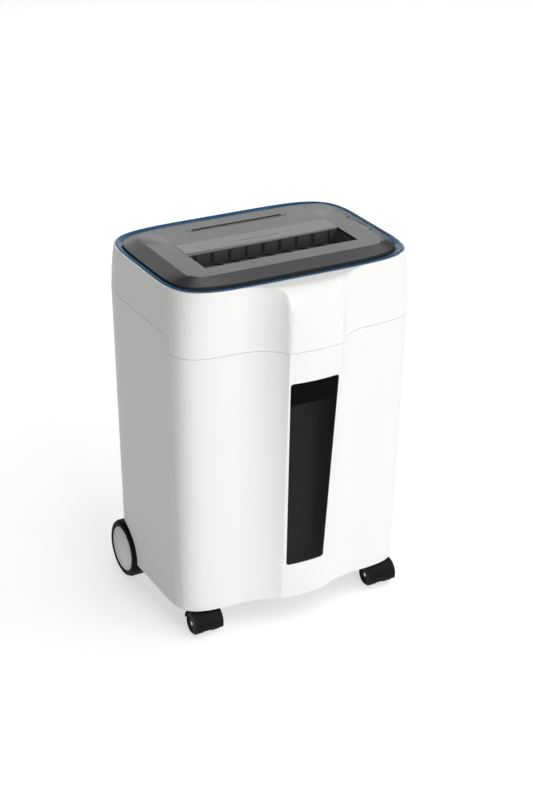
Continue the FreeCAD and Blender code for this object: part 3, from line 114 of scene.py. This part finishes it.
class Finish:
    """A material: a Principled shader with its pattern laid on Object coordinates."""

    def __init__(self, name, roughness, metallic=0.0, **constants):
        self.material = bpy.data.materials.new(name)
        self.material.use_nodes = True
        self.tree = self.material.node_tree
        self.shader = self.tree.nodes["Principled BSDF"]
        self.shader.inputs["Roughness"].default_value = roughness
        self.shader.inputs["Metallic"].default_value = metallic
        for title, value in constants.items():
            self.shader.inputs[title.replace("_", " ")].default_value = value
        self.place = self.node("ShaderNodeTexCoord").outputs["Object"]

    def node(self, kind, settings=None, sockets=None):
        """Adds a node with its settings, and feeds its sockets by name or number."""
        node = self.tree.nodes.new(kind)
        for title, value in (settings or {}).items():
            setattr(node, title, value)
        for title, value in (sockets or {}).items():
            join(self.tree, node.inputs[title], value)
        return node

    def noise(self, scale, detail=2.0, stretch=(1, 1, 1)):
        mapping = self.node("ShaderNodeMapping", None, {"Vector": self.place, "Scale": stretch})
        sockets = {"Vector": mapping.outputs["Vector"], "Scale": scale, "Detail": detail}
        node = self.node("ShaderNodeTexNoise", None, sockets)
        return Level(self.tree, node.outputs["Fac"])

    def along(self, axis):
        """The Object coordinate along X, Y or Z."""
        parts = self.node("ShaderNodeSeparateXYZ", None, {"Vector": self.place})
        return Level(self.tree, parts.outputs[axis])

    def mixed(self, share, first, second):
        """A colour that runs from first to second as share goes from 0 to 1."""
        node = self.node("ShaderNodeMix", {"data_type": "RGBA"})
        join(self.tree, node.inputs["Factor"], share)
        join(self.tree, node.inputs[6], first)
        join(self.tree, node.inputs[7], second)
        return node.outputs[2]

    def feed(self, **links):
        for title, value in links.items():
            join(self.tree, self.shader.inputs[title.replace("_", " ")], value)

    def bump(self, height, depth):
        node = self.node("ShaderNodeBump", None, {"Height": height, "Distance": depth, "Strength": 1.0})
        self.feed(Normal=node.outputs["Normal"])


def shade(color, factor):
    return tuple(min(c * factor, 1.0) for c in color) + (1.0,)


def moulded(name, color, roughness, grain_depth, grain_scale=900, spread=0.05, **constants):
    """A moulded plastic: an even colour with a slight drift, and a fine sparked grain."""
    finish = Finish(name, roughness, **constants)
    drift = finish.noise(14)
    finish.feed(Base_Color=finish.mixed(drift, shade(color, 1 - spread), shade(color, 1 + spread)))
    finish.feed(Roughness=drift * 0.08 + (roughness - 0.04))
    finish.bump(finish.noise(grain_scale), grain_depth)
    return finish


def metal(name, color, roughness, stretch=(1, 1, 1), scale=260, spread=0.12):
    """A bare or plated metal with fine working marks along one direction."""
    finish = Finish(name, roughness, 1.0)
    marks = finish.noise(scale, 3.0, stretch)
    finish.feed(Base_Color=finish.mixed(marks, shade(color, 1 - spread), shade(color, 1 + spread)))
    finish.feed(Roughness=marks * 0.2 + (roughness - 0.1))
    finish.bump(marks, 0.00002)
    return finish


def dress(finish, *nodes):
    """Gives CAD nodes their finish."""
    for name in nodes:
        node = frame["nodes"][name]
        node.data.materials.clear()
        node.data.materials.append(finish.material)


def record_slot(name):
    return next(s["material_slot"] for s in frame["record"]["subparts"] if s["node"] == name)


def soften(mesh, angle):
    """Shades a mesh smooth, but for the edges that turn by more than an angle in degrees."""
    mesh.shade_smooth()
    mesh.set_sharp_from_angle(angle=math.radians(angle))


def settle(piece, finish, *nodes):
    """Gives a piece its finish and the body of the CAD nodes that it stands for, and hides the nodes."""
    piece.data.materials.clear()
    piece.data.materials.append(finish.material)
    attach(piece, frame["nodes"][nodes[0]]["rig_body"])
    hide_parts(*nodes)
    record_slot(nodes[0])


def refined(name, finish, angle=32):
    """A merged copy of a CAD node, shaded smooth, that stands for it."""
    mesh = frame["nodes"][name].data.copy()
    mesh.name = name + "_finished"
    work = bmesh.new()
    work.from_mesh(mesh)
    bmesh.ops.remove_doubles(work, verts=work.verts, dist=0.00001)
    bmesh.ops.dissolve_degenerate(work, edges=work.edges, dist=0.000005)
    work.to_mesh(mesh)
    work.free()
    piece = bpy.data.objects.new(name + "_finished", mesh)
    bpy.context.scene.collection.objects.link(piece)
    soften(mesh, angle)
    settle(piece, finish, name)


BLACK = (0.018, 0.018, 0.019)
base_black = moulded("base_black", BLACK, 0.5, 0.00004, Specular_IOR_Level=0.25)
zinc = metal("zinc", (0.62, 0.62, 0.6), 0.38)
dress(base_black, "base_tray")
dress(zinc, "caster_sockets", "rear_axle")

# ---------------------------------------------------------------- rear wheels
# Two moulded wheels with a plain rubber tyre and a pale round cap set a little way in. They run
# on the ends of the steel axle.
tyre_rubber = moulded("tyre_rubber", (0.003, 0.003, 0.003), 0.6, 0.00008, 500, Specular_IOR_Level=0.1)
cap_grey = moulded("cap_grey", (0.66, 0.66, 0.655), 0.42, 0.00002)
for side in ("left", "right"):
    refined("rear_tyre_" + side, tyre_rubber)
    refined("rear_hub_" + side, cap_grey)

# ---------------------------------------------------------------- casters
# Twin-wheel swivel casters in black nylon: a hood on a steel stem, with a wheel each side of a web.
caster_nylon = moulded("caster_nylon", (0.006, 0.006, 0.007), 0.42, 0.00003, Specular_IOR_Level=0.06)
for side in ("left", "right"):
    refined("caster_hood_" + side, caster_nylon)
    dress(zinc, "caster_axle_" + side)
    for place in ("inner", "outer"):
        refined(f"caster_wheel_{side}_{place}", caster_nylon)

# ---------------------------------------------------------------- cabinet
# The sides and back are one white moulding with a satin face, cut round for the large wheels.
WHITE = (0.67, 0.67, 0.66)
shell_white = moulded("shell_white", WHITE, 0.36, 0.00001, 1200, 0.006, Specular_IOR_Level=0.3)
refined("cabinet_wrap", shell_white)

# ---------------------------------------------------------------- bin
# A bucket screwed behind a white front, with a smoked window let into the nose. It slides out to
# the front on slippery strips between two rails. Behind the window its face is painted pale as if lit
# below the rim, and painted dark as shade above the rim and behind the face, where the head's shadow
# falls.
BUCKET_FACE = -94.5 * MM
BUCKET_SHADE_LINE = 340 * MM
BUCKET_PAINTED_LIT = (0.42, 0.42, 0.44, 1)
BUCKET_PAINTED_SHADE = (0.003, 0.003, 0.003, 1)
bucket_grey = moulded("bucket_grey", (0.016, 0.016, 0.017), 0.5, 0.00005)
# Painted light and shade: the outer face below the rim is painted pale as if lit, and the rest is painted
# dark as shade.
painted_shade = bucket_grey.along("Y").over(BUCKET_FACE) + bucket_grey.along("Z").over(BUCKET_SHADE_LINE)
bucket_grey.feed(Base_Color=bucket_grey.mixed(painted_shade, BUCKET_PAINTED_LIT, BUCKET_PAINTED_SHADE))
nylon = moulded("nylon", (0.75, 0.74, 0.68), 0.45, 0.00002)
smoke = moulded("smoke", (0.002, 0.002, 0.0025), 0.16, 0.0, 900, 0.05, Specular_IOR_Level=0.05, Alpha=0.56)
dress(bucket_grey, "bin_bucket")
dress(base_black, "bin_rail_left", "bin_rail_right")
dress(nylon, "bin_runners")
dress(zinc, "bin_screws")
refined("bin_front", shell_white)
refined("bin_window", smoke)

# ---------------------------------------------------------------- cutters and drive
# Hardened cutters run in bronze bearings between two zinc plated side plates on a black deck. The
# motor drives them by an idler, and a pair of nylon gears carries the drive to the disc cutters.
tool_steel = metal("tool_steel", (0.36, 0.36, 0.37), 0.32, (1, 6, 6))
gear_steel = metal("gear_steel", (0.42, 0.42, 0.43), 0.35)
bronze = metal("bronze", (0.55, 0.36, 0.18), 0.4)
windings = metal("windings", (0.5, 0.28, 0.14), 0.45, (1, 8, 8))
motor_black = moulded("motor_black", (0.05, 0.05, 0.055), 0.42, 0.00003)
board_green = moulded("board_green", (0.02, 0.13, 0.05), 0.35, 0.00002)
dress(base_black, "mechanism_deck", "stripper_combs", "gear_cover", "bin_switch")
dress(zinc, "head_screws", "left_side_plate", "gear_side_plate", "tie_rods")
dress(bronze, "cutter_bearings")
dress(tool_steel, "cutter_front", "cutter_rear", "disc_cutter_front", "disc_cutter_rear")
dress(gear_steel, "sync_gear_front", "sync_gear_rear", "drive_gear", "disc_gear_front", "disc_gear_rear")
dress(nylon, "transfer_gear_front", "transfer_gear_rear", "idler_gear")
dress(motor_black, "motor_can")
dress(windings, "motor_rotor")
dress(board_green, "control_board")

# ---------------------------------------------------------------- head shell
# The white upper casing sits over the deck. Its proud nose leans in to a shoulder under the rim.
refined("head_shell", shell_white)

# ---------------------------------------------------------------- ring and cover
# A blue ring is let in between the rim and the cover. The cover is a grey moulding with four
# bevels round a flat top.
COVER_GREY = (0.034, 0.034, 0.034)
ring_blue = moulded("ring_blue", (0.006, 0.075, 0.165), 0.35, 0.0, 900, 0.04, Specular_IOR_Level=0.2)
cover_grey = moulded("cover_grey", COVER_GREY, 0.38, 0.00003)
refined("trim_ring", ring_blue)
refined("top_cover", cover_grey, 12)

# ---------------------------------------------------------------- paper mouth
# A darker liner slopes down to the neck, ribbed in black. The paler strip rolls over its back edge,
# and carries a fine dark line that shows where a single sheet goes, and some small plain marks.
LINE_X = 3 * MM
LINE_Y = 19.3 * MM
LINE_LENGTH = 64 * MM
LINE_WIDTH = 1.5 * MM
SLOT_Y = 88.65 * MM
SLOT_LENGTH = 149 * MM
SLOT_WIDTH = 5.2 * MM
BEZEL_STRAIGHT = 76.5 * MM
BEZEL_RIM = 4 * MM
BEZEL_SHADE = (0.001, 0.001, 0.001, 1)
STRIP_GREY = (0.22, 0.22, 0.22)
STRIP_DARK = (0.004, 0.004, 0.004, 1)
MARK_SIZE = 3.2 * MM
MARK_SHARE = 0.3
MARKS = [(x * MM, 24 * MM) for x in (-108, -92, -76, -12, 3, 30, 48, 66, 84, 102)]


def within(level, middle, width):
    """One where a level is within a width about a middle, and nought elsewhere."""
    return level.over(middle - width / 2) - level.over(middle + width / 2)


liner_grey = moulded("liner_grey", (0.04, 0.04, 0.045), 0.5, 0.00003)
strip_grey = moulded("strip_grey", STRIP_GREY, 0.5, 0.00003, Specular_IOR_Level=0.35)
x, y = strip_grey.along("X"), strip_grey.along("Y")
line = within(x, LINE_X, LINE_LENGTH) * within(y, LINE_Y, LINE_WIDTH)
for mark_x, mark_y in MARKS:
    line = line + within(x, mark_x, MARK_SIZE) * within(y, mark_y, MARK_SIZE) * MARK_SHARE
strip_grey.feed(Base_Color=strip_grey.mixed(line, shade(STRIP_GREY, 1), STRIP_DARK))
dress(liner_grey, "throat_liner")
dress(base_black, "throat_ribs")
refined("guide_strip", strip_grey)
bezel_grey = moulded("bezel_grey", COVER_GREY, 0.38, 0.00003)
x, y = bezel_grey.along("X"), bezel_grey.along("Y")
# Painted shade: the slot is painted near black, and so is all of the bezel outside a 4 mm rim round the
# slot, as a dark line of shade at its edge.
slot_shade = within(x, 0, SLOT_LENGTH) * within(y, SLOT_Y, SLOT_WIDTH)
beyond, aside = (x.absolute() - BEZEL_STRAIGHT).at_least(0), y - SLOT_Y
edge_shade = (beyond * beyond + aside * aside).over(BEZEL_RIM * BEZEL_RIM)
bezel_grey.feed(Base_Color=bezel_grey.mixed(slot_shade + edge_shade, shade(COVER_GREY, 1), BEZEL_SHADE))
dress(bezel_grey, "disc_slot_bezel")

# ---------------------------------------------------------------- key and lights
# A long grey key rocks in a black tray by the right hand end of the mouth, beside four small lights.
key_grey = moulded("key_grey", (0.075, 0.075, 0.075), 0.4, 0.00002)
lens_clear = moulded("lens_clear", (0.16, 0.17, 0.18), 0.3, 0.0)
dress(base_black, "control_bay")
refined("mode_rocker", key_grey)
dress(lens_clear, "indicator_lenses")

# ---------------------------------------------------------------- back of the head
# The mains inlet and its rocker share one black module, and a slotted grille cools the motor.
dress(base_black, "power_inlet", "power_rocker", "vent_grille")

# ---------------------------------------------------------------- studio
# A pale seamless floor that glows a little, broad soft lights, and the camera in front of the left
# hand corner.
SET_BACK = 18.65 * MM
SKY_AXIS = (0.38, -0.33, 0.86)
SKY_FADE = {"From Min": 0.72, "From Max": 0.92, "To Min": 0.02, "To Max": 2.5}
FLOOR_PALE = (0.42, 0.42, 0.42, 1)
FLOOR_PALER = (0.45, 0.45, 0.45, 1)
FLOOR_GLOW = 0.62


def panel(name, place, aim, width, height, power):
    """A soft rectangular light."""
    lamp = bpy.data.lights.new(name, "AREA")
    lamp.shape = "RECTANGLE"
    lamp.size = width
    lamp.size_y = height
    lamp.energy = power
    stand = bpy.data.objects.new(name, lamp)
    bpy.context.scene.collection.objects.link(stand)
    stand.location = place
    stand.rotation_euler = (Vector(aim) - Vector(place)).to_track_quat("-Z", "Y").to_euler()


floor_mesh = bpy.data.meshes.new("floor")
work = bmesh.new()
bmesh.ops.create_grid(work, x_segments=1, y_segments=1, size=12)
work.to_mesh(floor_mesh)
work.free()
floor = bpy.data.objects.new("floor", floor_mesh)
bpy.context.scene.collection.objects.link(floor)
floor_paper = Finish("floor_paper", 0.9, Emission_Color=(1, 1, 1, 1), Emission_Strength=FLOOR_GLOW)
floor_paper.feed(Base_Color=floor_paper.mixed(floor_paper.noise(3), FLOOR_PALE, FLOOR_PALER))
floor_mesh.materials.append(floor_paper.material)

world = bpy.data.worlds.new("studio")
bpy.context.scene.world = world
world.use_nodes = True
sky = world.node_tree
direction = sky.nodes.new("ShaderNodeTexCoord")
toward = sky.nodes.new("ShaderNodeVectorMath")
toward.operation = "DOT_PRODUCT"
toward.inputs[1].default_value = SKY_AXIS
sky.links.new(direction.outputs["Generated"], toward.inputs[0])
fade = sky.nodes.new("ShaderNodeMapRange")
fade.interpolation_type = "SMOOTHSTEP"
for title, value in SKY_FADE.items():
    fade.inputs[title].default_value = value
sky.links.new(toward.outputs["Value"], fade.inputs["Value"])
sky.links.new(fade.outputs["Result"], sky.nodes["Background"].inputs["Strength"])
sky.nodes["Background"].inputs["Color"].default_value = (1, 1, 1, 1)
panel("front_panel", (0.1, -3.3, 1.2), (0, 0, 0.3), 1.6, 2.0, 69)
panel("back_panel", (1.2, 3.2, 1.7), (0, 0, 0.5), 3.2, 1.6, 35)

azimuth, elevation, roll = (math.radians(a) for a in (-28.29, 25.77, 0.36))
distance = 2.71192
away = Vector((math.sin(azimuth) * math.cos(elevation), -math.cos(azimuth) * math.cos(elevation),
               math.sin(elevation)))
across = Vector((math.cos(azimuth), math.sin(azimuth), 0))
upward = away.cross(across)
leaning_across = across * math.cos(roll) + upward * math.sin(roll)
leaning_up = upward * math.cos(roll) - across * math.sin(roll)
lens = bpy.data.cameras.new("camera")
lens.sensor_width = 36
lens.lens = 80.8
camera = bpy.data.objects.new("camera", lens)
bpy.context.scene.collection.objects.link(camera)
target = Vector((0, SET_BACK, 300.76 * MM)) + across * 12.51 * MM
turn = Matrix((leaning_across, leaning_up, away)).transposed().to_4x4()
camera.matrix_world = Matrix.Translation(target + away * distance) @ turn
bpy.context.scene.camera = camera
bpy.context.scene.view_settings.view_transform = "Standard"
